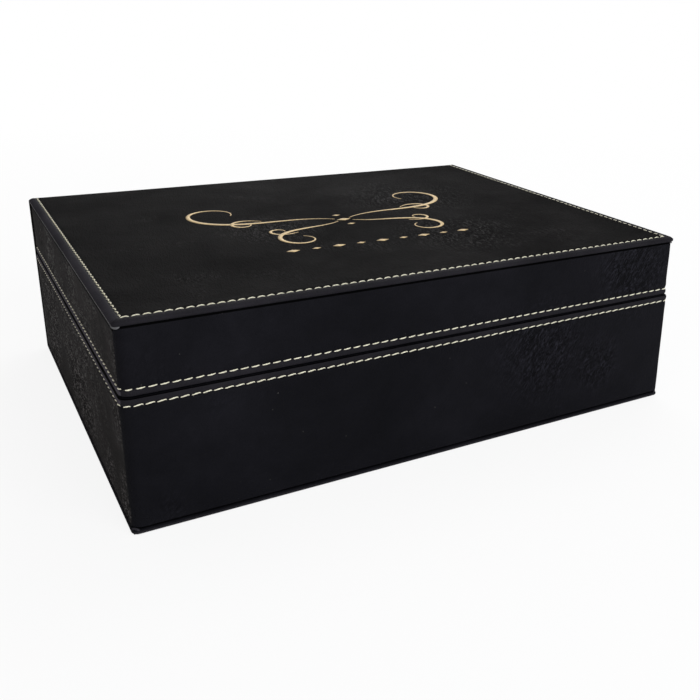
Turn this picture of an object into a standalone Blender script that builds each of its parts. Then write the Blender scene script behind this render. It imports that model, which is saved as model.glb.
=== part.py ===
# Leatherette gift box: a wrapped cover of two boards and a hinged spine, which carries a base tray and a lid tray.
# Metres, +Z up, +X along the long side, -Y towards the front. The origin is the middle of the underside.

import math

import bmesh
import bpy
from mathutils import Vector

# Driving dimensions of the whole box
BOX_WIDTH = 0.300
BOX_DEPTH = 0.240
BOX_HEIGHT = 0.097
SEAM_HEIGHT = 0.0635

# Fits and cuts
CLEARANCE = 0.0003
OVERRUN = 0.002

# Sewing thread, and the leatherette that its stitches sink into
THREAD = 0.0003
SKIN_UNDER_THREAD = 0.0002
GROOVE_WIDTH = 0.001
GROOVE_DEPTH = CLEARANCE + THREAD
SKIN = SKIN_UNDER_THREAD + GROOVE_DEPTH
TOP_STITCH_INSET = 0.0042
RIM_STITCH_SPARE = 0.0007

# Cover: board, turned-in edges and folds
COVER_BOARD = 0.0008
COVER = COVER_BOARD + 2 * (SKIN + CLEARANCE)
EDGE_RADIUS = min(0.0014, COVER / 2)
TOP_FOLD_RADIUS = 0.003
BOTTOM_FOLD_RADIUS = 0.0045
TURN_IN = 0.015
BOARD_EASE = 0.0003

# Magnets in the front rims, and the wall boards that hold them
MAGNET_LENGTH = 0.014
MAGNET_THICKNESS = 0.001
MAGNET_HEIGHT = 0.005
MAGNET_SINK = 0.0006
MAGNET_CHEEK = 0.0003
MAGNET_SPACING = 0.180
WALL_BOARD = MAGNET_THICKNESS + 2 * (CLEARANCE + MAGNET_CHEEK)

# Tray walls: board between two legs of leatherette, rolled over the rim
WALL = WALL_BOARD + 2 * (SKIN + CLEARANCE)
RIM_RADIUS = WALL / 2
INNER_CORNER_RADIUS = 0.0003
WALL_CORNER_RADIUS = WALL + INNER_CORNER_RADIUS
RIM_STITCH_DROP = RIM_RADIUS + GROOVE_WIDTH / 2 + RIM_STITCH_SPARE
LID_WALL_INSET = 0.0009
BASE_WALL_INSET = 0.0004

# Velvet-covered linings and pads
LINING = 0.0012
LINING_DROP = 0.006
LINING_EASE = 0.0004
CARD = 0.0012
PAD_EDGE = 0.003
PAD_CROWN = 0.0022
PAD_DRAW_IN = 0.0012
PAD_EASE = 0.0004
PAD_FOOT_EASE = 0.0005

# Hinge: the lips of the two spines meet when the lid has turned by this angle
LID_STOP_ANGLE = math.radians(104)
HINGE_LINING = SKIN - CLEARANCE
HINGE_LINING_REACH = 0.009
HINGE_DEPTH = COVER - SKIN - SKIN

# Steps in round stretches
CORNER_STEPS = 6
RIM_STEPS = 8
EDGE_STEPS = 4
FOLD_STEPS = 6
THREAD_SIDES = 6
PAD_COLUMNS = 22
PAD_ROWS = 16
SMOOTH_ANGLE = math.radians(35)


def lip_gap():
    """Half the gap between the two spine lips: they touch, rolled edge to rolled edge, at the stop angle."""
    half = LID_STOP_ANGLE / 2
    reach = HINGE_DEPTH - EDGE_RADIUS
    return (EDGE_RADIUS + reach * math.sin(half)) / math.cos(half) - EDGE_RADIUS


LIP_GAP = lip_gap()
HINGE_Y = BOX_DEPTH / 2 - HINGE_DEPTH


class Cover:
    """One half of the wrapped cover. Its plate lies at the top or the bottom, and its spine runs to the hinge."""

    def __init__(self, face, inward, fold):
        self.face = face
        self.inward = inward
        self.fold = fold
        self.spine = abs(SEAM_HEIGHT - face) - LIP_GAP

    def point(self, x, back, deep):
        """A point given by its distance from the back face and its depth below the plate's outer face."""
        return Vector((x, BOX_DEPTH / 2 - back, self.face + self.inward * deep))


class Tray:
    """One tray: four walls that stand on a cover plate and end in a rolled rim at the seam."""

    def __init__(self, rim, away, inset, root):
        self.rim = rim
        self.away = away
        self.half_width = BOX_WIDTH / 2 - inset
        self.front = -BOX_DEPTH / 2 + inset
        self.back = BOX_DEPTH / 2 - COVER - CLEARANCE
        self.height = abs(root - rim)

    def z(self, drop):
        return self.rim + self.away * drop


TOP_COVER = Cover(BOX_HEIGHT, -1, TOP_FOLD_RADIUS)
BOTTOM_COVER = Cover(0, 1, BOTTOM_FOLD_RADIUS)
BASE_TRAY = Tray(SEAM_HEIGHT - CLEARANCE / 2, -1, BASE_WALL_INSET, COVER + CLEARANCE)
LID_TRAY = Tray(SEAM_HEIGHT + CLEARANCE / 2, 1, LID_WALL_INSET, BOX_HEIGHT - COVER - CLEARANCE)


def clear_scene():
    for thing in list(bpy.data.objects):
        bpy.data.objects.remove(thing, do_unlink=True)


def finish_of(name, colour, roughness, metallic):
    material = bpy.data.materials.new(name)
    material.use_nodes = True
    shader = material.node_tree.nodes["Principled BSDF"]
    shader.inputs["Base Color"].default_value = (*colour, 1)
    shader.inputs["Roughness"].default_value = roughness
    shader.inputs["Metallic"].default_value = metallic
    material.diffuse_color = (*colour, 1)
    return material


def leatherette(name):
    return finish_of(name, (0.012, 0.011, 0.012), 0.5, 0)


def grey_board(name):
    return finish_of(name, (0.28, 0.26, 0.23), 0.9, 0)


def velvet(name):
    return finish_of(name, (0.018, 0.017, 0.018), 0.95, 0)


def steel(name):
    return finish_of(name, (0.6, 0.6, 0.58), 0.3, 1)


def cotton(name):
    return finish_of(name, (0.56, 0.52, 0.36), 0.8, 0)


def place(name, bm, finish, pivot=None):
    """Turns a bmesh into a named object of one closed body, with its faces pointing out."""
    bmesh.ops.remove_doubles(bm, verts=bm.verts, dist=CLEARANCE / 1000)
    bmesh.ops.recalc_face_normals(bm, faces=bm.faces)
    mesh = bpy.data.meshes.new(name)
    bm.to_mesh(mesh)
    bm.free()
    mesh.shade_smooth()
    mesh.set_sharp_from_angle(angle=SMOOTH_ANGLE)
    thing = bpy.data.objects.new(name, mesh)
    bpy.context.scene.collection.objects.link(thing)
    if finish:
        mesh.materials.append(finish(name))
    if pivot:
        thing.parent = pivot
        thing.location = -pivot.location
    return thing


def box_mesh(low, high):
    bm = bmesh.new()
    bmesh.ops.create_cube(bm, size=1)
    low, high = Vector(low), Vector(high)
    for vert in bm.verts:
        vert.co = Vector([a + (b - a) * (c + 0.5) for a, b, c in zip(low, high, vert.co)])
    return bm


def ordered(first, second):
    return [[min(a, b) for a, b in zip(first, second)], [max(a, b) for a, b in zip(first, second)]]


def columns_mesh(columns, closed):
    """Joins a row of like cross-sections. A closed row meets its own start, and an open one gets two end caps."""
    bm = bmesh.new()
    rows = [[bm.verts.new(point) for point in column] for column in columns]
    count = len(rows)
    for i in range(count if closed else count - 1):
        here, there = rows[i], rows[(i + 1) % count]
        for j in range(len(here)):
            k = (j + 1) % len(here)
            bm.faces.new((here[j], here[k], there[k], there[j]))
    if not closed:
        bm.faces.new(rows[0])
        bm.faces.new(list(reversed(rows[-1])))
    return bm


def cutter(name, bm):
    thing = place(name, bm, None)
    thing.hide_render = True
    thing.display_type = "WIRE"
    return thing


def cut(thing, tool):
    boolean = thing.modifiers.new(tool.name, "BOOLEAN")
    boolean.operation = "DIFFERENCE"
    boolean.solver = "EXACT"
    boolean.object = tool


def ease(thing, width):
    bevel = thing.modifiers.new("eased edges", "BEVEL")
    bevel.width = width
    bevel.segments = 1
    bevel.limit_method = "ANGLE"


def arc(centre, radius, start, end, steps):
    """Points on an arc, angles in quarter turns. No steps give its start alone."""
    points = []
    for i in range(steps + 1):
        angle = (start + (end - start) * i / max(steps, 1)) * math.pi / 2
        points.append((centre[0] + radius * math.cos(angle), centre[1] + radius * math.sin(angle)))
    return points


# Cover


def cover_section(cover, margin):
    """Outline of plate and spine as (distance from the back face, depth below the plate's face), moved in by margin."""
    edge = EDGE_RADIUS
    fold = cover.fold
    inner = COVER - margin
    points = []
    points += arc((BOX_DEPTH - edge, COVER - edge), edge - margin, 1, 0, EDGE_STEPS)
    points += arc((BOX_DEPTH - edge, edge), edge - margin, 0, -1, EDGE_STEPS)
    points += arc((fold, fold), fold - margin, -1, -2, FOLD_STEPS)
    points += arc((edge, cover.spine - edge), edge - margin, -2, -3, EDGE_STEPS)
    points.append((inner, cover.spine - margin))
    points.append((inner, inner))
    return points


def cover_body(cover, margin):
    """The whole shape of plate and spine, with its two ends rolled like its other edges."""
    roll = EDGE_RADIUS - margin
    columns = []
    for side in (-1, 1):
        steps = range(EDGE_STEPS, -1, -1) if side < 0 else range(EDGE_STEPS + 1)
        for i in steps:
            angle = math.pi / 2 * i / EDGE_STEPS
            x = side * (BOX_WIDTH / 2 - EDGE_RADIUS + roll * math.sin(angle))
            section = cover_section(cover, margin + roll * (1 - math.cos(angle)))
            columns.append([cover.point(x, back, deep) for back, deep in section])
    return columns_mesh(columns, closed=False)


def window_depth():
    """The inner leg of the wrap is cut away from here, between the board and the leg."""
    return COVER - SKIN - CLEARANCE / 2


def cover_windows(cover, name):
    """Two cutters that leave the turned-in edges at the left, the front and the right."""
    half = BOX_WIDTH / 2 - TURN_IN
    start = window_depth()
    plate = ordered(
        cover.point(-half, start, start), cover.point(half, BOX_DEPTH - TURN_IN, COVER + OVERRUN)
    )
    spine = ordered(
        cover.point(-half, start, start), cover.point(half, COVER + OVERRUN, cover.spine + OVERRUN)
    )
    return [cutter(name + "_plate_window", box_mesh(*plate)), cutter(name + "_spine_window", box_mesh(*spine))]


def cover_wrap(name, cover, pivot=None):
    wrap = place(name, cover_body(cover, 0), leatherette, pivot)
    cut(wrap, cutter(name + "_pocket", cover_body(cover, SKIN)))
    for window in cover_windows(cover, name):
        cut(wrap, window)
    return wrap


def cover_board(name, cover, pivot=None):
    side = BOX_WIDTH / 2 - SKIN - CLEARANCE
    rear = max(COVER, cover.fold) + CLEARANCE
    front = BOX_DEPTH - SKIN - CLEARANCE
    outer = SKIN + CLEARANCE
    corners = ordered(cover.point(-side, rear, outer), cover.point(side, front, outer + COVER_BOARD))
    board = place(name, box_mesh(*corners), grey_board, pivot)
    ease(board, BOARD_EASE)


def spine_board(name, cover, pivot=None):
    side = BOX_WIDTH / 2 - SKIN - CLEARANCE
    near = max(COVER, cover.fold) + CLEARANCE
    far = cover.spine - SKIN - CLEARANCE
    outer = SKIN + CLEARANCE
    corners = ordered(cover.point(-side, outer, near), cover.point(side, outer + COVER_BOARD, far))
    board = place(name, box_mesh(*corners), grey_board, pivot)
    ease(board, BOARD_EASE)


def top_stitch_groove():
    """A shallow channel near the left, front and right edges of the top. It ends where the back fold starts."""
    rear = BOX_DEPTH / 2 - TOP_FOLD_RADIUS
    outline = []
    for inset, turn in ((TOP_STITCH_INSET - GROOVE_WIDTH / 2, 1), (TOP_STITCH_INSET + GROOVE_WIDTH / 2, -1)):
        x = BOX_WIDTH / 2 - inset
        y = -BOX_DEPTH / 2 + inset
        outline += [(-x, rear), (-x, y), (x, y), (x, rear)][::turn]
    low, high = BOX_HEIGHT - GROOVE_DEPTH, BOX_HEIGHT + OVERRUN
    return columns_mesh([[Vector((x, y, z)) for x, y in outline] for z in (low, high)], closed=False)


def top_stitch_thread(pivot):
    inset = TOP_STITCH_INSET
    rear = BOX_DEPTH / 2 - TOP_FOLD_RADIUS - CLEARANCE
    corners = [(-1, 1), (-1, -1), (1, -1), (1, 1)]
    columns = []
    for sx, sy in corners:
        column = []
        for i in range(THREAD_SIDES):
            angle = 2 * math.pi * i / THREAD_SIDES
            offset = THREAD / 2 * math.cos(angle)
            height = BOX_HEIGHT - THREAD / 2 + THREAD / 2 * math.sin(angle)
            x = sx * (BOX_WIDTH / 2 - inset + offset)
            y = rear if sy > 0 else -BOX_DEPTH / 2 + inset - offset
            column.append(Vector((x, y, height)))
        columns.append(column)
    place("top_edge_thread", columns_mesh(columns, closed=False), cotton, pivot)


# Trays


def wall_ring(tray, offset, quarter_marks):
    """Points along the tray's outline, moved in by offset, for a list of (corner, start, end, steps) in quarter turns."""
    radius = WALL_CORNER_RADIUS - offset
    x = tray.half_width - WALL_CORNER_RADIUS
    front, back = tray.front + WALL_CORNER_RADIUS, tray.back - WALL_CORNER_RADIUS
    centres = {"front_left": (-x, front), "front_right": (x, front), "back_right": (x, back), "back_left": (-x, back)}
    points = []
    for corner, start, end, steps in quarter_marks:
        points += arc(centres[corner], radius, start, end, steps)
    return points


def wall_strip(name, tray, section, path, closed, finish, pivot=None):
    """Sweeps a section of (offset, drop) points along the tray's outline."""
    rings = [wall_ring(tray, offset, path(offset)) for offset, drop in section]
    columns = []
    for j in range(len(rings[0])):
        column = [Vector((*ring[j], tray.z(drop))) for ring, (offset, drop) in zip(rings, section)]
        columns.append(column)
    return place(name, columns_mesh(columns, closed), finish, pivot)


def whole_ring(offset):
    return [
        ("front_left", 2, 3, CORNER_STEPS),
        ("front_right", 3, 4, CORNER_STEPS),
        ("back_right", 4, 5, CORNER_STEPS),
        ("back_left", 5, 6, CORNER_STEPS),
    ]


def three_sides(offset):
    return [
        ("back_left", 2, 2, 0),
        ("front_left", 2, 3, CORNER_STEPS),
        ("front_right", 3, 4, CORNER_STEPS),
        ("back_right", 4, 4, 0),
    ]


def one_side(first, second, start):
    """A wall from the middle of one corner to the middle of the next, less half a clearance at each mitre."""

    def path(offset):
        trim = math.asin(CLEARANCE / 2 / (WALL_CORNER_RADIUS - offset)) / (math.pi / 2)
        half = CORNER_STEPS // 2
        return [
            (first, start + 0.5 + trim, start + 1, half),
            (second, start + 1, start + 1.5 - trim, half),
        ]

    return path


SIDES = {
    "front": one_side("front_left", "front_right", 2),
    "right": one_side("front_right", "back_right", 3),
    "back": one_side("back_right", "back_left", 4),
    "left": one_side("back_left", "front_left", 5),
}


def wall_wrap(name, tray, pivot=None):
    """Leatherette over both faces of the walls and rolled over the rim, with the channel of the stitches outside."""
    row = RIM_STITCH_DROP
    half = GROOVE_WIDTH / 2
    section = [(0, tray.height), (0, row + half), (GROOVE_DEPTH, row + half)]
    section += [(GROOVE_DEPTH, row - half), (0, row - half)]
    section += arc((RIM_RADIUS, RIM_RADIUS), RIM_RADIUS, -2, 0, RIM_STEPS)
    section += [(WALL, tray.height), (WALL - SKIN, tray.height)]
    section += arc((RIM_RADIUS, RIM_RADIUS), RIM_RADIUS - SKIN, 0, -2, RIM_STEPS)
    section += [(SKIN, tray.height)]
    return wall_strip(name, tray, section, whole_ring, True, leatherette, pivot)


def wall_boards(prefix, tray, pivot=None):
    section = [(SKIN + CLEARANCE, tray.height)]
    section += arc((RIM_RADIUS, RIM_RADIUS), WALL_BOARD / 2, -2, 0, RIM_STEPS)
    section += [(WALL - SKIN - CLEARANCE, tray.height)]
    boards = {}
    for side, path in SIDES.items():
        name = f"{prefix}_{side}_wall_board"
        boards[side] = wall_strip(name, tray, section, path, False, grey_board, pivot)
    return boards


def magnets(prefix, tray, front_board, pivot=None):
    """Two bar magnets, let into the front board from its rim."""
    middle = tray.front + RIM_RADIUS
    top = SKIN + CLEARANCE + MAGNET_SINK
    for side, sign in (("left", -1), ("right", 1)):
        x = sign * MAGNET_SPACING / 2
        name = f"{prefix}_{side}_rim_magnet"
        ends = []
        for ease_by in (0, CLEARANCE):
            length, thick = MAGNET_LENGTH / 2 + ease_by, MAGNET_THICKNESS / 2 + ease_by
            upper = tray.z(-OVERRUN if ease_by else top)
            lower = tray.z(top + MAGNET_HEIGHT + ease_by)
            ends.append(ordered((x - length, middle - thick, lower), (x + length, middle + thick, upper)))
        place(name, box_mesh(*ends[0]), steel, pivot)
        cut(front_board, cutter(name + "_pocket", box_mesh(*ends[1])))


def rim_thread(name, tray, pivot=None):
    section = []
    for i in range(THREAD_SIDES):
        angle = 2 * math.pi * i / THREAD_SIDES
        offset = THREAD / 2 + THREAD / 2 * math.cos(angle)
        section.append((offset, RIM_STITCH_DROP + THREAD / 2 * math.sin(angle)))
    wall_strip(name, tray, section, three_sides, False, cotton, pivot)


# Linings and pads


def card_and_linings(prefix, tray, card_name, pivot=None):
    """A card under the pad, and four lining panels that stand on it."""
    inner = WALL + CLEARANCE
    x = tray.half_width - inner
    front, back = tray.front + inner, tray.back - inner
    card = ordered((-x, front, tray.z(tray.height)), (x, back, tray.z(tray.height - CARD)))
    place(card_name, box_mesh(*card), grey_board, pivot)
    foot, head = tray.z(tray.height - CARD - CLEARANCE), tray.z(LINING_DROP)
    near, far = front + LINING + CLEARANCE, back - LINING - CLEARANCE
    panels = {
        "front": ordered((-x, front, foot), (x, front + LINING, head)),
        "back": ordered((-x, back - LINING, foot), (x, back, head)),
        "left": ordered((-x, near, foot), (-x + LINING, far, head)),
        "right": ordered((x - LINING, near, foot), (x, far, head)),
    }
    for side, corners in panels.items():
        panel = place(f"{prefix}_{side}_lining", box_mesh(*corners), velvet, pivot)
        ease(panel, LINING_EASE)


def pad_height(u, v):
    """Height above the pad's foot at a place from -1 to 1 along each side."""
    return PAD_EDGE + PAD_CROWN * (1 - u**4) * (1 - v**4)


def pad(name, tray, pivot=None):
    """A crowned cushion whose sides pull in between its corners."""
    inner = WALL + CLEARANCE + LINING + CLEARANCE + PAD_EASE
    half_x = tray.half_width - inner
    middle = (tray.front + tray.back) / 2
    half_y = (tray.back - tray.front) / 2 - inner
    foot = tray.height - CARD - CLEARANCE

    def point(u, v, height, pull=0):
        x = u * (half_x - pull - PAD_DRAW_IN * (1 - v**2))
        y = v * (half_y - pull - PAD_DRAW_IN * (1 - u**2))
        return Vector((x, middle + y, tray.z(foot - height)))

    bm = bmesh.new()
    grid = []
    for i in range(PAD_COLUMNS + 1):
        u = math.sin(math.pi / 2 * (2 * i / PAD_COLUMNS - 1))
        row = []
        for j in range(PAD_ROWS + 1):
            v = math.sin(math.pi / 2 * (2 * j / PAD_ROWS - 1))
            row.append(bm.verts.new(point(u, v, pad_height(u, v))))
        grid.append(row)
    for i in range(PAD_COLUMNS):
        for j in range(PAD_ROWS):
            bm.faces.new((grid[i][j], grid[i + 1][j], grid[i + 1][j + 1], grid[i][j + 1]))
    rim = [(i, 0) for i in range(PAD_COLUMNS)] + [(PAD_COLUMNS, j) for j in range(PAD_ROWS)]
    rim += [(i, PAD_ROWS) for i in range(PAD_COLUMNS, 0, -1)] + [(0, j) for j in range(PAD_ROWS, 0, -1)]
    lower = []
    for i, j in rim:
        u = math.sin(math.pi / 2 * (2 * i / PAD_COLUMNS - 1))
        v = math.sin(math.pi / 2 * (2 * j / PAD_ROWS - 1))
        lower.append(bm.verts.new(point(u, v, 0, PAD_FOOT_EASE)))
    for k in range(len(rim)):
        n = (k + 1) % len(rim)
        bm.faces.new((grid[rim[k][0]][rim[k][1]], lower[k], lower[n], grid[rim[n][0]][rim[n][1]]))
    bm.faces.new(lower)
    place(name, bm, velvet, pivot)


# Hinge


def hinge_strips():
    """The cover's leatherette in the hinge groove, and the strip that lines it inside."""
    side = BOX_WIDTH / 2 - EDGE_RADIUS
    half = LIP_GAP - CLEARANCE
    outer = HINGE_Y
    strip = ordered((-side, outer - SKIN, SEAM_HEIGHT - half), (side, outer, SEAM_HEIGHT + half))
    place("hinge_leatherette", box_mesh(*strip), leatherette)
    side = BOX_WIDTH / 2 - TURN_IN - CLEARANCE
    inner = BOX_DEPTH / 2 - COVER
    half = HINGE_LINING_REACH
    strip = ordered((-side, inner, SEAM_HEIGHT - half), (side, inner + HINGE_LINING, SEAM_HEIGHT + half))
    place("hinge_lining", box_mesh(*strip), leatherette)


def base():
    cover_wrap("bottom_cover_leatherette", BOTTOM_COVER)
    cover_board("bottom_board", BOTTOM_COVER)
    spine_board("lower_spine_board", BOTTOM_COVER)
    wall_wrap("base_wall_leatherette", BASE_TRAY)
    boards = wall_boards("base", BASE_TRAY)
    magnets("base", BASE_TRAY, boards["front"])
    rim_thread("base_rim_thread", BASE_TRAY)
    card_and_linings("base", BASE_TRAY, "base_floor_card")
    pad("base_floor_pad", BASE_TRAY)
    hinge_strips()


def lid():
    pivot = bpy.data.objects.new("lid_pivot", None)
    pivot.location = (0, HINGE_Y, SEAM_HEIGHT)
    bpy.context.scene.collection.objects.link(pivot)
    wrap = cover_wrap("top_cover_leatherette", TOP_COVER, pivot)
    cut(wrap, cutter("top_stitch_channel", top_stitch_groove()))
    cover_board("top_board", TOP_COVER, pivot)
    spine_board("upper_spine_board", TOP_COVER, pivot)
    wall_wrap("lid_wall_leatherette", LID_TRAY, pivot)
    boards = wall_boards("lid", LID_TRAY, pivot)
    magnets("lid", LID_TRAY, boards["front"], pivot)
    rim_thread("lid_rim_thread", LID_TRAY, pivot)
    top_stitch_thread(pivot)
    card_and_linings("lid", LID_TRAY, "lid_ceiling_card", pivot)
    pad("lid_ceiling_pad", LID_TRAY, pivot)


clear_scene()
base()
lid()
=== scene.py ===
# The looks of the leatherette gift box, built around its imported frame. Metres, +Z up, -Y towards the front.

import math

import bpy
import numpy as np
from mathutils import Matrix, Vector, noise


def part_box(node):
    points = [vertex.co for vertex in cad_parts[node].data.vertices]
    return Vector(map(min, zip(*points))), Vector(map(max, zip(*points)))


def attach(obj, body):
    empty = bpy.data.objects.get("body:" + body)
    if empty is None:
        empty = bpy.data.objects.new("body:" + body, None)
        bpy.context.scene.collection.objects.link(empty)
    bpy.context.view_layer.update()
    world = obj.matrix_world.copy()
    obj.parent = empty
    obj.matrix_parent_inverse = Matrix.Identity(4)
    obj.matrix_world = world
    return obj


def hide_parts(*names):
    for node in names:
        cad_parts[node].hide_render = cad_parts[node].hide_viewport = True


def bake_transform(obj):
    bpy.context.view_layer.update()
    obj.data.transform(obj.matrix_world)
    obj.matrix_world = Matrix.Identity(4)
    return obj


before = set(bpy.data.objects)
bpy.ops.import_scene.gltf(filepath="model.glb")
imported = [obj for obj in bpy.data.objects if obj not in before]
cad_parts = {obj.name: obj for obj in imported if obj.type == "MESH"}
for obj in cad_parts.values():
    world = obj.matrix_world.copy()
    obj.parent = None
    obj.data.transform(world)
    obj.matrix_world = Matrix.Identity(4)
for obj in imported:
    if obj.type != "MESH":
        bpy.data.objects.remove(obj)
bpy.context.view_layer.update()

# Sizes of the frame's own pieces
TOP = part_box("top_cover_leatherette")
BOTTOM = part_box("bottom_cover_leatherette")
LID_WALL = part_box("lid_wall_leatherette")
BASE_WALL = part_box("base_wall_leatherette")
HINGE_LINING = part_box("hinge_lining")
WIDTH = TOP[1].x - TOP[0].x
DEPTH = TOP[1].y - TOP[0].y
HEIGHT = TOP[1].z
SEAM = (BASE_WALL[1].z + LID_WALL[0].z) / 2
CLEARANCE = LID_WALL[0].z - BASE_WALL[1].z
SPINE = TOP[1].y - BASE_WALL[1].y - CLEARANCE
LIP_GAP = (TOP[0].z - BOTTOM[1].z) / 2

# Cover: plate, its pillowed edge, and its folds
PLATE = 0.0026
NOSE = 0.0032
NOSE_DEPTH = 0.0013
UNDER_ROLL = 0.0012
PLAN_RADIUS = 0.0028
EDGE_RADIUS = 0.0014
TOP_FOLD_RADIUS = 0.003
BOTTOM_FOLD_RADIUS = 0.0045
SKIN = 0.0008

# Tray walls
WALL = 0.0044
RIM_ROLL = 0.0008
LEFT_CORNER_RADIUS = 0.0045
RIGHT_CORNER_RADIUS = 0.0026
REAR_RADIUS = 0.0008
ROOT_ROLL = 0.0015
ROOT_DRAW_IN = 0.0012
UNDER_SHADE = 0.0026
FIT = 0.00005

# Stitches
TOP_STITCH_INSET = 0.0042
RIM_STITCH_DROP = 0.0034
LID_PITCH = 0.0048
BASE_PITCH = 0.0047
TOP_PITCH = 0.0043
THREAD_RADIUS = 0.0003

# Mesh fineness
FINE = 0.0012
COARSE = 0.0045

# Camera of the photograph
CAMERA_PLACE = (-0.20561, -0.45985, 0.22062)
CAMERA_YAW = 32.248
CAMERA_PITCH = 19.094
CAMERA_ROLL = 1.92
CAMERA_LENS = 45.296
CAMERA_SHIFT = (-0.15603, -0.07068)


# Mesh helpers


def mesh_object(name, verts, faces, material):
    mesh = bpy.data.meshes.new(name)
    mesh.from_pydata([tuple(v) for v in verts], [], [tuple(f) for f in faces])
    mesh.validate()
    mesh.shade_smooth()
    mesh.materials.append(material)
    thing = bpy.data.objects.new(name, mesh)
    bpy.context.scene.collection.objects.link(thing)
    return thing


def patch(thing, material, inside):
    """Gives another tone of the leatherette to the faces for which inside(centre, normal) holds."""
    thing.data.materials.append(material)
    for face in thing.data.polygons:
        if inside(face.center, face.normal):
            face.material_index = len(thing.data.materials) - 1


def dress(piece, body, node):
    """Hands a piece to the body it rides on, in place of a node of the frame."""
    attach(piece, body)
    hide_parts(node)


def grid_faces(columns, rows, wrap_columns, wrap_rows, first=0, flip=False):
    """Quads between neighbouring columns and rows of a points table."""
    faces = []
    for i in range(columns if wrap_columns else columns - 1):
        j = (i + 1) % columns
        for k in range(rows if wrap_rows else rows - 1):
            n = (k + 1) % rows
            quad = (i * rows + k, i * rows + n, j * rows + n, j * rows + k)
            faces.append(tuple(first + q for q in (quad[::-1] if flip else quad)))
    return faces


def sweep(table, closed, flip=False):
    """Points and faces from a table of columns, each one a closed outline. An open sweep gets a cap at each end."""
    columns, rows = table.shape[:2]
    faces = grid_faces(columns, rows, closed, True, 0, flip)
    if not closed:
        start = list(range(rows))
        end = [(columns - 1) * rows + k for k in range(rows)]
        faces += [start, end[::-1]] if flip else [start[::-1], end]
    return list(table.reshape(-1, 3)), faces


def arc(centre, radii, start, end, steps):
    """Points on an ellipse's arc, angles in quarter turns."""
    turns = np.linspace(start, end, steps + 1) * math.pi / 2
    return [(centre[0] + radii[0] * math.cos(t), centre[1] + radii[1] * math.sin(t)) for t in turns]


def between(first, last, count):
    """Points strictly between two ends, which cut the stretch into count parts."""
    steps = [i / count for i in range(1, count)]
    return [tuple(a + (b - a) * t for a, b in zip(first, last)) for t in steps]


def divided(first, last, spacing):
    """Points strictly between two ends, at most spacing apart."""
    return between(first, last, max(1, math.ceil(math.dist(first, last) / spacing)))


def drift(point, scale, seed):
    """Smooth wander between about -1 and 1."""
    return noise.noise(Vector(point) / scale + Vector((seed, seed * 1.7, -seed)))


def bump_at(value, middle, width):
    return math.exp(-(((value - middle) / width) ** 2))


def rolled(distance, reach, depth):
    """How far a rounded edge falls away at a distance from its end."""
    return depth * (1 - math.sqrt(1 - (1 - distance / reach) ** 2)) if distance < reach else 0


def outline_normals(points):
    """Outward unit normals of a clockwise outline in its own plane."""
    around = np.asarray(points)
    ahead = np.roll(around, -1, axis=0) - np.roll(around, 1, axis=0)
    ahead /= np.linalg.norm(ahead, axis=1)[:, None] + 1e-12
    return np.stack([-ahead[:, 1], ahead[:, 0]], 1)


# Materials


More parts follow.
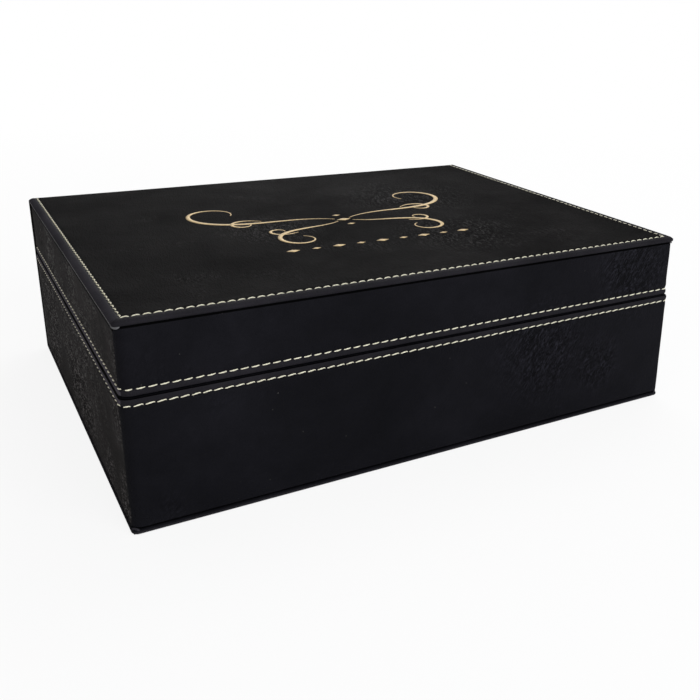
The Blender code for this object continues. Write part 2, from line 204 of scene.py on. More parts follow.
class Nodes:
    """Short way to write a node tree."""

    def __init__(self, name):
        self.material = bpy.data.materials.new(name)
        self.material.use_nodes = True
        self.tree = self.material.node_tree
        self.shader = self.tree.nodes["Principled BSDF"]
        self.place = self.add("ShaderNodeTexCoord").outputs["Object"]

    def add(self, kind, **settings):
        node = self.tree.nodes.new(kind)
        for key, value in settings.items():
            setattr(node, key, value)
        return node

    def link(self, source, target):
        self.tree.links.new(source, target)

    def noise(self, scale, detail=4, roughness=0.5, distortion=0, vector=None):
        node = self.add("ShaderNodeTexNoise")
        node.inputs["Scale"].default_value = scale
        node.inputs["Detail"].default_value = detail
        node.inputs["Roughness"].default_value = roughness
        node.inputs["Distortion"].default_value = distortion
        self.link(vector or self.place, node.inputs["Vector"])
        return node.outputs["Fac"]

    def voronoi(self, scale, feature="F1", vector=None, randomness=1):
        node = self.add("ShaderNodeTexVoronoi", feature=feature)
        node.inputs["Scale"].default_value = scale
        node.inputs["Randomness"].default_value = randomness
        self.link(vector or self.place, node.inputs["Vector"])
        return node.outputs["Distance"]

    def spread(self, source, low, high, to_low=0, to_high=1):
        node = self.add("ShaderNodeMapRange")
        node.inputs["From Min"].default_value = low
        node.inputs["From Max"].default_value = high
        node.inputs["To Min"].default_value = to_low
        node.inputs["To Max"].default_value = to_high
        self.link(source, node.inputs["Value"])
        return node.outputs["Result"]

    def maths(self, operation, first, second):
        node = self.add("ShaderNodeMath", operation=operation)
        for socket, value in zip(node.inputs, (first, second)):
            if isinstance(value, (int, float)):
                socket.default_value = value
            else:
                self.link(value, socket)
        return node.outputs[0]

    def colours(self, factor, first, second):
        node = self.add("ShaderNodeMix", data_type="RGBA")
        for socket, value in ((node.inputs[6], first), (node.inputs[7], second)):
            if isinstance(value, tuple):
                socket.default_value = (*value, 1)
            else:
                self.link(value, socket)
        self.link(factor, node.inputs[0])
        return node.outputs[2]

    def warp(self, amount, scale):
        """The object's coordinates, pushed about by noise."""
        wander = self.add("ShaderNodeTexNoise")
        wander.inputs["Scale"].default_value = scale
        wander.inputs["Detail"].default_value = 2
        self.link(self.place, wander.inputs["Vector"])
        shift = self.add("ShaderNodeVectorMath", operation="SCALE")
        self.link(wander.outputs["Color"], shift.inputs[0])
        shift.inputs["Scale"].default_value = amount
        moved = self.add("ShaderNodeVectorMath", operation="ADD")
        self.link(self.place, moved.inputs[0])
        self.link(shift.outputs[0], moved.inputs[1])
        return moved.outputs[0]

    def slanted(self, turn, stretch):
        """Coordinates in which a texture comes out stretched along its first axis, and turned."""
        node = self.add("ShaderNodeMapping", vector_type="TEXTURE")
        node.inputs["Rotation"].default_value = [math.radians(a) for a in turn]
        node.inputs["Scale"].default_value = stretch
        self.link(self.place, node.inputs["Vector"])
        return node.outputs["Vector"]

    def near(self, middle, reach, strength):
        """Full at a place on the object, and gone at a distance from it."""
        node = self.add("ShaderNodeVectorMath", operation="DISTANCE")
        self.link(self.place, node.inputs[0])
        node.inputs[1].default_value = middle
        return self.maths("MULTIPLY", self.spread(node.outputs["Value"], reach, reach * 0.35), strength)

    def bump(self, height, distance, strength=1, under=None):
        node = self.add("ShaderNodeBump")
        node.inputs["Distance"].default_value = distance
        node.inputs["Strength"].default_value = strength
        self.link(height, node.inputs["Height"])
        if under:
            self.link(under, node.inputs["Normal"])
        return node.outputs["Normal"]

    def finish(self, colour, rough, normal, specular, metallic=0):
        self.link(colour, self.shader.inputs["Base Color"])
        self.link(rough, self.shader.inputs["Roughness"])
        self.link(normal, self.shader.inputs["Normal"])
        self.shader.inputs["Specular IOR Level"].default_value = specular
        self.shader.inputs["Metallic"].default_value = metallic
        return self.material


def leatherette(name, dark, light, specular, crinkled, places=(), turn=(20, -55, 10), fineness=1, stretch=3.5, ridge_highlight=2.6):
    """Matte leatherette: pebbles, a cloudy dye, crinkles in patches and at the places given, and a few light specks.
    The crinkles' ridges carry a painted highlight.
    """
    n = Nodes(name)
    pebble = n.spread(n.voronoi(950, "DISTANCE_TO_EDGE", n.warp(0.0011, 420)), 0.0, 0.28)
    cloud = n.spread(n.noise(15, 5, 0.6, 0.4), 0.3, 0.72)
    blotch = n.spread(n.noise(75, 3, 0.65, 0.8), 0.35, 0.68)
    slant = n.slanted(turn, (stretch, 1, 1))
    grain = n.spread(n.noise(1000 * fineness, 2, 0.75, 0.5, slant), 0.38, 0.62)
    patches = n.maths("MULTIPLY", n.spread(n.noise(19, 4, 0.6, 0.5), 0.62 - 0.25 * crinkled, 0.85 - 0.25 * crinkled), 0.5 + 0.5 * crinkled)
    for middle, reach in places:
        patches = n.maths("MAXIMUM", patches, n.near(middle, reach, n.spread(blotch, 0, 1, 0.6, 1.15)))
    line = n.noise(750 * fineness, 2, 0.6, 0.7, slant)
    crease = n.spread(n.maths("ABSOLUTE", n.maths("SUBTRACT", line, 0.5), 0), 0, 0.1, 1, 0)
    plain = n.colours(n.maths("MULTIPLY", cloud, n.spread(blotch, 0, 1, 0.55, 1)), dark, light)
    ridge = n.maths("MULTIPLY", patches, n.maths("MULTIPLY", grain, n.maths("SUBTRACT", 1, crease)))
    # Painted highlight: the crinkles' ridges are lightened to several times the light tone.
    ridge_highlit = n.colours(n.maths("MULTIPLY", ridge, 0.85), plain, tuple(ridge_highlight * c for c in light))
    grained = n.colours(n.maths("MULTIPLY", patches, crease), ridge_highlit, tuple(0.2 * c for c in dark))
    speck = n.maths("LESS_THAN", n.voronoi(150), 0.04)
    colour = n.colours(n.maths("MULTIPLY", speck, n.spread(n.noise(60, 1), 0.54, 0.62)), grained, (0.07, 0.067, 0.064))
    rough = n.maths("ADD", n.spread(cloud, 0, 1, 0.68, 0.6), n.spread(ridge, 0, 1, 0, -0.06))
    low = n.bump(n.maths("MULTIPLY", patches, n.maths("SUBTRACT", 1, crease)), 0.0003, 1)
    mid = n.bump(pebble, 0.0001, 0.8, low)
    top = n.bump(grain, 0.0002, 0.4 + 0.4 * crinkled, mid)
    return n.finish(colour, rough, top, specular)


def velvet(name, dark, light):
    n = Nodes(name)
    brushed = n.noise(38, 4, 0.6, 1.2)
    pile = n.noise(5200, 2, 0.7)
    colour = n.colours(n.maths("MULTIPLY", n.spread(brushed, 0.3, 0.7), n.spread(pile, 0.3, 0.7, 0.5, 1)), dark, light)
    rough = n.spread(pile, 0.2, 0.8, 0.85, 1)
    nap = n.bump(brushed, 0.0004, 0.5)
    normal = n.bump(pile, 0.00012, 0.9, nap)
    n.shader.inputs["Sheen Weight"].default_value = 0.5
    n.shader.inputs["Sheen Roughness"].default_value = 0.4
    n.shader.inputs["Sheen Tint"].default_value = (0.5, 0.48, 0.5, 1)
    return n.finish(colour, rough, normal, 0.1)


def thread(name, dark, light):
    n = Nodes(name)
    fibre = n.noise(6000, 3, 0.6)
    soil = n.noise(130, 3, 0.6)
    mix = n.maths("MULTIPLY", n.spread(fibre, 0.25, 0.7), n.spread(soil, 0.25, 0.65, 0.7, 1))
    colour = n.colours(mix, dark, light)
    return n.finish(colour, n.spread(fibre, 0, 1, 0.6, 0.85), n.bump(fibre, 0.00006, 0.8), 0.3)


def grey_board(name):
    n = Nodes(name)
    pulp = n.noise(900, 5, 0.7)
    flecks = n.spread(n.voronoi(420), 0.1, 0.3)
    colour = n.colours(n.maths("MULTIPLY", pulp, flecks), (0.16, 0.15, 0.13), (0.34, 0.32, 0.28))
    return n.finish(colour, n.spread(pulp, 0, 1, 0.8, 0.95), n.bump(pulp, 0.0001, 0.6), 0.3)


def nickel(name):
    n = Nodes(name)
    wear = n.noise(260, 4, 0.6)
    colour = n.colours(wear, (0.5, 0.49, 0.46), (0.72, 0.71, 0.68))
    return n.finish(colour, n.spread(wear, 0.3, 0.7, 0.2, 0.36), n.bump(wear, 0.00002, 0.5), 0.5, 1)


def gilt(name):
    n = Nodes(name)
    burn = n.noise(1500, 4, 0.65)
    colour = n.colours(n.spread(burn, 0.3, 0.7), (0.38, 0.26, 0.12), (0.78, 0.60, 0.33))
    return n.finish(colour, n.spread(burn, 0, 1, 0.45, 0.65), n.bump(burn, 0.00006, 0.7), 0.4, 0.35)


TOP_WEAR = [((0.045, -0.06, 0.097), 0.045), ((-0.045, -0.01, 0.097), 0.035), ((0.06, 0.03, 0.097), 0.05)]
FRONT_WEAR = [((0.122, -0.119, 0.08), 0.032), ((0.062, -0.12, 0.045), 0.034), ((0.1, -0.12, 0.03), 0.02)]
LONG_GRAIN = (10, 15, 80)
TOP_LEATHER = leatherette("top_leather", (0.0044, 0.0042, 0.0043), (0.0135, 0.0129, 0.0130), 0.006, 0.35, TOP_WEAR, LONG_GRAIN, 0.75, 5, 3.4)
WALL_LEATHER = leatherette("wall_leather", (0.0037, 0.0037, 0.0049), (0.0075, 0.0073, 0.0098), 0.03, 0.2, FRONT_WEAR)
# Lighter copy of the leatherette for the left and right walls: painted light, as if lit from the side.
SIDE_LIT_LEATHER = leatherette("side_lit_leather", (0.0140, 0.0131, 0.0130), (0.0398, 0.0370, 0.0370), 0.005, 1, (), LONG_GRAIN, 0.6, 2.6, 3.4)
# Lighter copy for the padded bands between stitches and edges: painted light on the bands.
BAND_LIT_LEATHER = leatherette("band_lit_leather", (0.0070, 0.0065, 0.0084), (0.0155, 0.0143, 0.0180), 0.06, 0.2)
# Still lighter copy of the band for the left and right walls: painted light from the side.
SIDE_BAND_LIT = leatherette("side_band_lit", (0.0430, 0.0388, 0.0470), (0.0800, 0.0730, 0.0870), 0.01, 0.2)
# Lighter copy for the plate's rounded end edges: painted light.
EDGE_LIT_LEATHER = leatherette("edge_lit_leather", (0.0190, 0.0180, 0.0215), (0.0370, 0.0348, 0.0415), 0.006, 0)
# Near-black copy of the leatherette: painted shade in the seam groove and under the plates.
PAINTED_SHADE_LEATHER = leatherette("painted_shade_leather", (0.0006, 0.0006, 0.0007), (0.0012, 0.0012, 0.0013), 0.01, 0)
# Light copy for thin lines along the plates' lower edges: a painted highlight.
EDGE_HIGHLIGHT = leatherette("painted_edge_highlight", (0.19, 0.186, 0.191), (0.33, 0.324, 0.332), 0.05, 0)
# Light copy for the top's corner pleats: a painted highlight.
TAB_HIGHLIGHT = leatherette("painted_tab_highlight", (0.06, 0.06, 0.063), (0.14, 0.14, 0.147), 0.2, 0)
LINING_VELVET = velvet("lining_velvet", (0.006, 0.0058, 0.0062), (0.022, 0.021, 0.022))
THREAD = thread("sewing_thread", (0.46, 0.43, 0.29), (0.95, 0.92, 0.76))
BOARD = grey_board("board")
NICKEL = nickel("nickel")
GILT = gilt("gilt")


# Sewn leatherette


def even_pitch(total, pitch):
    return total / round(total / pitch)


def seam_relief(beyond, along, pitch, band):
    """Height of the leatherette near a row of stitches. beyond counts away from the edge, and band is the way to it."""
    hole = (0.5 + 0.5 * math.cos(2 * math.pi * along / pitch)) ** 3
    channel = -0.0004 * bump_at(beyond, 0, 0.0007) * (0.6 + 0.4 * hole)
    if beyond < 0:
        return channel + 0.0003 * math.sin(math.pi * min(1, -beyond / band)) ** 0.8 * (1 - 0.15 * hole)
    pucker = 0.00005 * math.sin(2 * math.pi * along / pitch) * bump_at(beyond, 0.002, 0.002)
    return channel + 0.00014 * bump_at(beyond, 0.0026, 0.0018) + pucker


# Covers


def margins(distance):
    """How far the faces of a cover draw in near its ends: top, underside, front, back and the spine's inside."""
    return (
        rolled(distance, NOSE, NOSE_DEPTH),
        rolled(distance, UNDER_ROLL, UNDER_ROLL),
        rolled(distance, PLAN_RADIUS, PLAN_RADIUS),
        rolled(distance, EDGE_RADIUS, EDGE_RADIUS),
        rolled(distance, EDGE_RADIUS, EDGE_RADIUS),
    )


def cover_outline(spine, fold, drawn_in, spacing):
    """Outline of plate and spine as (distance from the back face, depth below the plate's outer face)."""
    top, under, front, rear, inside = drawn_in
    face = DEPTH - front
    lip = spine - EDGE_RADIUS
    corners = [
        arc((face - UNDER_ROLL, PLATE - UNDER_ROLL), (UNDER_ROLL, UNDER_ROLL - under), 1, 0, 6),
        arc((face - NOSE, NOSE_DEPTH), (NOSE, NOSE_DEPTH - top), 0, -1, 10),
        arc((fold, fold), (fold - rear, fold - top), -1, -2, 10),
        arc((EDGE_RADIUS, lip), (EDGE_RADIUS - rear, EDGE_RADIUS), -2, -3, 6),
        [(SPINE - inside, spine)],
        [(SPINE - inside, PLATE - under)],
    ]
    counts = [1, DEPTH / spacing, spine / COARSE, 1, spine / COARSE, DEPTH / COARSE]
    points = []
    for i, corner in enumerate(corners):
        points += corner + between(corner[-1], corners[(i + 1) % len(corners)][0], math.ceil(counts[i]))
    return points


def stations(spacing):
    """Distances from one end to the middle, close together where the edge is rounded."""
    near = [0, 0.00004, 0.00014, 0.0003, 0.0005, 0.0007, 0.00095, 0.0012, 0.00145, 0.00175, 0.0021, 0.00245, 0.0028, NOSE]
    count = math.ceil((WIDTH / 2 - NOSE) / spacing)
    return near + [NOSE + (WIDTH / 2 - NOSE) * i / count for i in range(1, count + 1)]


def hollow(low, high, verts, faces):
    """Adds a closed cavity in the shape of a box."""
    first = len(verts)
    corners = [(x, y, z) for x in (low[0], high[0]) for y in (low[1], high[1]) for z in (low[2], high[2])]
    verts += corners
    quads = [(0, 2, 3, 1), (4, 5, 7, 6), (0, 1, 5, 4), (2, 6, 7, 3), (0, 4, 6, 2), (1, 3, 7, 5)]
    faces += [tuple(first + q for q in quad) for quad in quads]


def cover(name, face, inward, spine, fold, spacing, relief, material):
    """Sweeps the outline of plate and spine across the width, lays the relief on it, and leaves room for the boards."""
    half = stations(spacing)
    places = [(d - WIDTH / 2, d) for d in half] + [(WIDTH / 2 - d, d) for d in reversed(half[:-1])]
    table = []
    for x, distance in places:
        outline = cover_outline(spine, fold, [m * 0.999 for m in margins(distance)], spacing)
        column = []
        for (back, deep), (out_back, out_deep) in zip(outline, outline_normals(outline)):
            point = Vector((x, TOP[1].y - back, face + inward * deep))
            lift = relief(point, back, deep) * min(1, distance / 0.001)
            column.append(point + Vector((0, -out_back * lift, inward * out_deep * lift)))
        table.append(column)
    verts, faces = sweep(np.array(table), False, flip=inward < 0)
    side = WIDTH / 2 - SKIN
    rooms = [((fold, DEPTH - SKIN), (SKIN, PLATE - SKIN / 2)), ((SKIN, SPINE - SKIN), (fold, spine - SKIN))]
    for (near, far), (shallow, deep) in rooms:
        ends = sorted((face + inward * shallow, face + inward * deep))
        hollow((-side, TOP[1].y - far, ends[0]), (side, TOP[1].y - near, ends[1]), verts, faces)
    return mesh_object(name, verts, faces, material)


SIDE_RUN = TOP[1].y - TOP_FOLD_RADIUS - TOP[0].y - TOP_STITCH_INSET
FRONT_RUN = WIDTH - 2 * TOP_STITCH_INSET
TOP_STEP = even_pitch(2 * SIDE_RUN + FRONT_RUN, TOP_PITCH)


def top_lift(x, y):
    """Height of the top's leatherette above its level, with the channel and the pillowed edge."""
    wander = 0.00009 * drift((x, y, 0), 0.05, 3) + 0.00004 * drift((x, y, 0), 0.016, 8)
    side, front = WIDTH / 2 - abs(x), y - TOP[0].y
    if front < side:
        near, along = front, SIDE_RUN + x + FRONT_RUN / 2
    else:
        run = y - TOP[0].y - TOP_STITCH_INSET
        near, along = side, SIDE_RUN - run if x < 0 else SIDE_RUN + FRONT_RUN + run
    return wander + seam_relief(near - TOP_STITCH_INSET, along, TOP_STEP, TOP_STITCH_INSET)


def top_relief(point, back, deep):
    if deep > NOSE_DEPTH or back < TOP_FOLD_RADIUS:
        outside = back < SPINE or back > DEPTH - EDGE_RADIUS
        return 0.00006 * drift(point, 0.03, 5) if outside and deep > 0 else 0
    return top_lift(point.x, point.y)


def bottom_relief(point, back, deep):
    return 0.00006 * drift(point, 0.03, 5) if back < EDGE_RADIUS and deep > BOTTOM_FOLD_RADIUS else 0


def corner_tab(name, body, node, x_sign, face, inward):
    """The small pleat of turned-in leatherette that shows under a plate's front corner."""
    ahead = Vector((x_sign, -1, 0)).normalized()
    along = Vector((-ahead.y, ahead.x, 0))
    corner = Vector((x_sign * WIDTH / 2, TOP[0].y, face + inward * (PLATE - 0.0003)))
    centre = corner - ahead * 0.0021
    verts, faces = [], []
    turns = np.linspace(0, math.pi, 13)
    for reach, out in ((0.85, -0.0005), (1, -0.0002), (1, 0.0002), (0.85, 0.0005)):
        for t in turns:
            sag = along * 0.002 * reach * math.cos(t) + Vector((0, 0, inward)) * 0.0012 * reach * math.sin(t)
            verts.append(centre + sag + ahead * (out - 0.0003 * math.cos(t) ** 2))
    count = len(turns)
    for ring in range(3):
        for k in range(count - 1):
            a = ring * count + k
            faces.append((a, a + 1, a + count + 1, a + count))
    faces += [list(range(count))[::-1], list(range(3 * count, 4 * count))]
    faces.append([ring * count for ring in range(4)])
    faces.append([ring * count + count - 1 for ring in range(3, -1, -1)])
    faces.append([3 * count, 4 * count - 1, count - 1, 0])
    if inward < 0:
        faces = [face[::-1] for face in faces]
    # The top's pleats take the painted highlight, and the bottom's take the lighter end-edge copy with its painted
    # light.
    tab = mesh_object(name, verts, faces, TAB_HIGHLIGHT if inward < 0 else EDGE_LIT_LEATHER)
    dress(tab, body, node)


# Tray walls


def wall_path(wall, spacing):
    """Outer line of a tray's walls as (x, y, way out x, way out y, distance from the start of its stitches)."""
    low, high = wall
    points = []
    corners = [
        (low.x, high.y, 1, REAR_RADIUS),
        (low.x, low.y, 2, LEFT_CORNER_RADIUS),
        (high.x, low.y, 3, RIGHT_CORNER_RADIUS),
        (high.x, high.y, 4, REAR_RADIUS),
    ]
    for cx, cy, start, radius in corners:
        sx, sy = (1 if cx < 0 else -1), (1 if cy < 0 else -1)
        reach = max(radius, WALL)
        target = (cx + sx * reach, cy + sy * reach)
        bend = arc((cx + sx * radius, cy + sy * radius), (radius, radius), start, start + 1, 8)
        turn_in, turn_out = start * math.pi / 2, (start + 1) * math.pi / 2
        first = (target[0] + reach * math.cos(turn_in), target[1] + reach * math.sin(turn_in))
        last = (target[0] + reach * math.cos(turn_out), target[1] + reach * math.sin(turn_out))
        outer = bend if reach == radius else [first] + divided(first, bend[0], spacing) + bend + divided(bend[-1], last, spacing) + [last]
        group = [(x, y, (x - target[0]) / reach, (y - target[1]) / reach) for x, y in outer]
        if points:
            before = points[-1]
            points += [(*p, before[2], before[3]) for p in divided(before[:2], group[0][:2], spacing)]
        points += group
    closing = divided(points[-1][:2], points[0][:2], spacing)
    points += [(*p, 0, 1) for p in closing]
    lengths = np.concatenate([[0], np.cumsum([math.dist(a[:2], b[:2]) for a, b in zip(points, points[1:])])])
    zero = next(length for point, length in zip(points, lengths) if abs(point[0] - low.x) < 1e-7) - REAR_RADIUS
    return [(*p, length - zero) for p, length in zip(points, lengths)]


def wall_outline(height):
    """Closed section of a wall's wrap as (offset, drop from the rim, how much relief it takes)."""
    close = RIM_STITCH_DROP + 0.006
    root = [(rolled(height - drop, ROOT_ROLL, ROOT_DRAW_IN), drop) for drop in np.linspace(height, height - ROOT_ROLL, 7)]
    outer = root + [(0, height - UNDER_SHADE)] + divided((0, height - UNDER_SHADE), (0, close), 0.004) + [(0, close)] + divided((0, close), (0, RIM_ROLL), 0.00042)
    outer += arc((RIM_ROLL, RIM_ROLL), (RIM_ROLL, RIM_ROLL), -2, -1, 7)
    inner = arc((WALL - RIM_ROLL, RIM_ROLL), (RIM_ROLL, RIM_ROLL), -1, 0, 5)
    inner += divided((WALL, RIM_ROLL), (WALL, height), 0.004) + [(WALL, height)]
    core = WALL / 2 - SKIN
    inner += [(WALL - SKIN, height)] + arc((WALL / 2, WALL / 2), (core, core), 0, -2, 8) + [(SKIN, height)]
    return [(*p, 1) for p in outer] + [(*p, 0) for p in inner]


def corner_creases(wall, x, y, drop):
    """Small upright creases where the wrap is drawn round a front corner."""
    low, high = wall
    side = min(abs(x - low.x), abs(high.x - x)) + (y - low.y)
    fade = bump_at(side, 0.007, 0.006) * min(1, max(0, drop - RIM_STITCH_DROP - 0.002) / 0.008)
    return fade * 0.00016 * drift((side * 3.2, drop * 0.35, x), 0.006, 60)


def wall_wrap(name, wall, rim_z, away, height, pitch, material, seed):
    path = wall_path(wall, FINE)
    outline = wall_outline(height)
    step = even_pitch(wall_run(wall, 0, 0)[1], pitch)
    table = []
    for x, y, out_x, out_y, along in path:
        column = []
        for offset, drop, takes in outline:
            lift = 0
            if takes:
                place = (x, y, rim_z + away * drop)
                lift = seam_relief(drop - RIM_STITCH_DROP, along, step, RIM_STITCH_DROP)
                lift += 0.00012 * drift(place, 0.035, seed) + 0.00005 * drift(place, 0.011, seed + 4)
                lift = (lift + corner_creases(wall, x, y, drop)) * min(1, drop / RIM_ROLL) * min(1, (height - drop) / 0.004)
            out = lift - offset
            column.append((x + out_x * out, y + out_y * out, rim_z + away * drop))
        table.append(column)
    wrap = mesh_object(name, *sweep(np.array(table), True, flip=away < 0), material)
    # Painted light: the left and right walls take the lighter copy of the leatherette.
    patch(wrap, SIDE_LIT_LEATHER, lambda c, n: abs(n.x) > 0.97)
    # Painted shade: the rolled rim at the seam and the wall's root under the plate take the near-black copy.
    creases = (RIM_ROLL * 0.6, height - ROOT_ROLL * 0.6)
    patch(wrap, PAINTED_SHADE_LEATHER, lambda c, n: abs(n.z) < 0.9 and not creases[0] < away * (c.z - rim_z) < creases[1])
    # Painted shadow under the top plate's overhang on the left wall.
    patch(wrap, PAINTED_SHADE_LEATHER, lambda c, n: n.x < -0.9 and c.z > HEIGHT - PLATE - UNDER_SHADE)
    # Painted light on the band between the rim and its row of stitches.
    patch(wrap, BAND_LIT_LEATHER, lambda c, n: RIM_ROLL * 0.5 < away * (c.z - rim_z) < RIM_STITCH_DROP - 0.0003)
    # Painted light on the bands of the left and right walls.
    patch(wrap, SIDE_BAND_LIT, lambda c, n: abs(n.x) > 0.8 and RIM_ROLL * 0.5 < away * (c.z - rim_z) < RIM_STITCH_DROP - 0.0003)
    return wrap


# Stitches


def tube(path, sides, radius_at, twist):
    """Rings of a two-ply thread along a path of (point, up) pairs."""
    rings = []
    for i, (point, up) in enumerate(path):
        ahead = (path[min(i + 1, len(path) - 1)][0] - path[max(i - 1, 0)][0]).normalized()
        side = ahead.cross(up).normalized()
        over = side.cross(ahead)
        share = i / (len(path) - 1)
        ring = []
        for k in range(sides):
            angle = 2 * math.pi * k / sides
            radius = radius_at(share) * (1 + 0.16 * math.cos(2 * (angle - twist * share)))
            ring.append(point + side * radius * math.cos(angle) + over * radius * math.sin(angle))
        rings.append(ring)
    return rings


def stitches(name, run, total, pitch, look, seed):
    """A row of stitches. run(s) gives the place, the way out and the way across the row, at a distance s along it."""
    step = even_pitch(total, pitch)
    verts, faces = [], []
    steps, sides = 10, 8
    for i in range(round(total / step)):
        wander = drift((i * 0.37, 0, 0), 1, seed)
        sway = drift((i * 0.61, 4, 0), 1, seed)
        middle = (i + 0.5) * step
        share = look["share"] if abs(run(middle)[0].x) < FRONT_RUN / 2 - 0.001 else look["side_share"]
        length = step * (share + 0.04 * wander)
        path = []
        for j in range(steps + 1):
            t = j / steps
            point, out, over = run(min(max(middle + (t - 0.5) * length, 0), total))
            across = (t - 0.5) * (look["tilt"] + 0.00012 * sway) + look["arch"] * (1 - (2 * t - 1) ** 2)
            across += 0.00005 * wander - look["tick"] * max(0, (t - 0.8) / 0.2) ** 2
            rise = THREAD_RADIUS * (0.95 * (1 - abs(2 * t - 1) ** 3) - 0.75)
            path.append((point + over * across + out * rise, out))
        body = look["body"]
        rings = tube(path, sides, lambda t: THREAD_RADIUS * (0.5 + 0.5 * math.sin(math.pi * t**body) ** 0.5), 7)
        first = len(verts)
        verts += [p for ring in rings for p in ring]
        faces += grid_faces(steps + 1, sides, False, True, first, True)
        faces.append(tuple(first + k for k in range(sides)))
        faces.append(tuple(first + steps * sides + k for k in reversed(range(sides))))
    return mesh_object(name, verts, faces, THREAD)


def follow(table, height, lift):
    """A run along a table of (x, y, way x, way y), and its length."""
    table = np.array(table)
    lengths = np.concatenate([[0], np.cumsum(np.linalg.norm(np.diff(table[:, :2], axis=0), axis=1))])

    def at(s):
        x, y, way_x, way_y = (np.interp(s, lengths, table[:, c]) for c in range(4))
        return Vector((x, y, height)), Vector((way_x, way_y, 0)).normalized()

    return at, lengths[-1]


def wall_run(wall, height, lift):
    """Follows the left, front and right walls at one height."""
    low, high = wall
    table = [(low.x, high.y, -1, 0)]
    left, right = LEFT_CORNER_RADIUS, RIGHT_CORNER_RADIUS
    for cx, radius, start in ((low.x + left, left, 2), (high.x - right, right, 3)):
        turns = np.linspace(start, start + 1, 9) * math.pi / 2
        table += [(cx + radius * math.cos(t), low.y + radius + radius * math.sin(t), math.cos(t), math.sin(t)) for t in turns]
    table.append((high.x, high.y, 1, 0))
    at, total = follow(table, height, lift)

    def run(s):
        place, out = at(s)
        return place + out * lift, out, Vector((0, 0, 1))

    return run, total


def top_run(lift):
    """Follows the left, front and right edges of the top, at the stitches' inset."""
    x, y = FRONT_RUN / 2, TOP[0].y + TOP_STITCH_INSET
    rear = TOP[1].y - TOP_FOLD_RADIUS
    turn = 0.0002
    table = [(-x, rear, 1, 0), (-x, y + turn, 1, 0), (-x + turn, y, 0, 1), (x - turn, y, 0, 1), (x, y + turn, -1, 0), (x, rear, -1, 0)]
    at, total = follow(table, HEIGHT, lift)

    def run(s):
        place, over = at(s)
        return place + Vector((0, 0, lift)), Vector((0, 0, 1)), over

    return run, total


# Linings and pads


def rounded_bar(name, low, high, radius, spacing, wander, material):
    """A soft-edged panel: a rounded section swept along its longest side."""
    low, high = Vector(low), Vector(high)
    size = high - low
    long = max(range(3), key=lambda a: size[a])
    a, b = [k for k in range(3) if k != long]
    if (long, a, b) == (1, 0, 2):
        a, b = b, a
    radius = min(radius, size[a] / 2 * 0.98, size[b] / 2 * 0.98)

    def section(margin):
        r = radius - margin
        points = []
        centres = [(high[a] - radius, high[b] - radius, 0), (low[a] + radius, high[b] - radius, 1)]
        centres += [(low[a] + radius, low[b] + radius, 2), (high[a] - radius, low[b] + radius, 3)]
        arcs = [arc((ca, cb), (r, r), q, q + 1, 4) for ca, cb, q in centres]
        for i in range(4):
            length = size[b] if i % 2 else size[a]
            points += arcs[i] + between(arcs[i][-1], arcs[(i + 1) % 4][0], math.ceil(length / spacing))
        return points

    stations = [(low[long] + radius * (1 - math.sin(t)), radius * (1 - math.cos(t))) for t in np.linspace(math.pi / 2, 0, 5)]
    inner = divided((stations[-1][0],), (high[long] - radius,), spacing)
    stations += [(s[0], 0) for s in inner]
    stations += [(high[long] - radius + radius * math.sin(t), radius * (1 - math.cos(t))) for t in np.linspace(0, math.pi / 2, 5)]
    table = []
    for place, margin in stations:
        column = []
        for pa, pb in section(min(margin, radius * 0.999)):
            point = Vector((0, 0, 0))
            point[long], point[a], point[b] = place, pa, pb
            column.append(point + Vector([wander * drift(point, 0.02, k + 11) for k in range(3)]))
        table.append(column)
    return mesh_object(name, *sweep(np.array(table), False), material)


def pad(name, node, foot_up, crown, material):
    """A crowned velvet cushion over the box of its solid, gathered a little along its edges."""
    low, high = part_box(node)
    middle = (low + high) / 2
    half_x, half_y = (high.x - low.x) / 2, (high.y - low.y) / 2
    foot = low.z if foot_up > 0 else high.z
    edge = (high.z - low.z) - crown
    columns, rows = 96, 72

    def point(u, v, level, pull):
        sway = 0.0012 * (1 - v * v)
        sway_y = 0.0012 * (1 - u * u)
        x = middle.x + u * (half_x - sway - pull)
        y = middle.y + v * (half_y - sway_y - pull)
        return (x, y, foot + foot_up * level)

    us = np.sin(np.linspace(-math.pi / 2, math.pi / 2, columns + 1))
    vs = np.sin(np.linspace(-math.pi / 2, math.pi / 2, rows + 1))
    verts = []
    for u in us:
        for v in vs:
            level = edge + crown * (1 - u**4) * (1 - v**4)
            level -= 0.0011 * max(bump_at(abs(u), 1, 0.012), bump_at(abs(v), 1, 0.016))
            level += 0.0002 * drift((u * 3, v * 3, foot_up), 1, 21)
            verts.append(point(u, v, level, 0))
    faces = grid_faces(columns + 1, rows + 1, False, False, 0, flip=foot_up > 0)
    loop = [(i, 0) for i in range(columns)] + [(columns, j) for j in range(rows)]
    loop += [(i, rows) for i in range(columns, 0, -1)] + [(0, j) for j in range(rows, 0, -1)]
    previous = [i * (rows + 1) + j for i, j in loop]
    for share, pull in ((0.72, -0.0002), (0.4, -0.0003), (0.12, 0.0001), (0, 0.0006)):
        ring = []
        for i, j in loop:
            ring.append(len(verts))
            verts.append(point(us[i], vs[j], share * (edge - 0.0011), pull))
        for k in range(len(loop)):
            n = (k + 1) % len(loop)
            quad = (previous[k], previous[n], ring[n], ring[k])
            faces.append(quad if foot_up < 0 else quad[::-1])
        previous = ring
    faces.append(tuple(previous) if foot_up < 0 else tuple(previous[::-1]))
    return mesh_object(name, verts, faces, material)


# Ornament


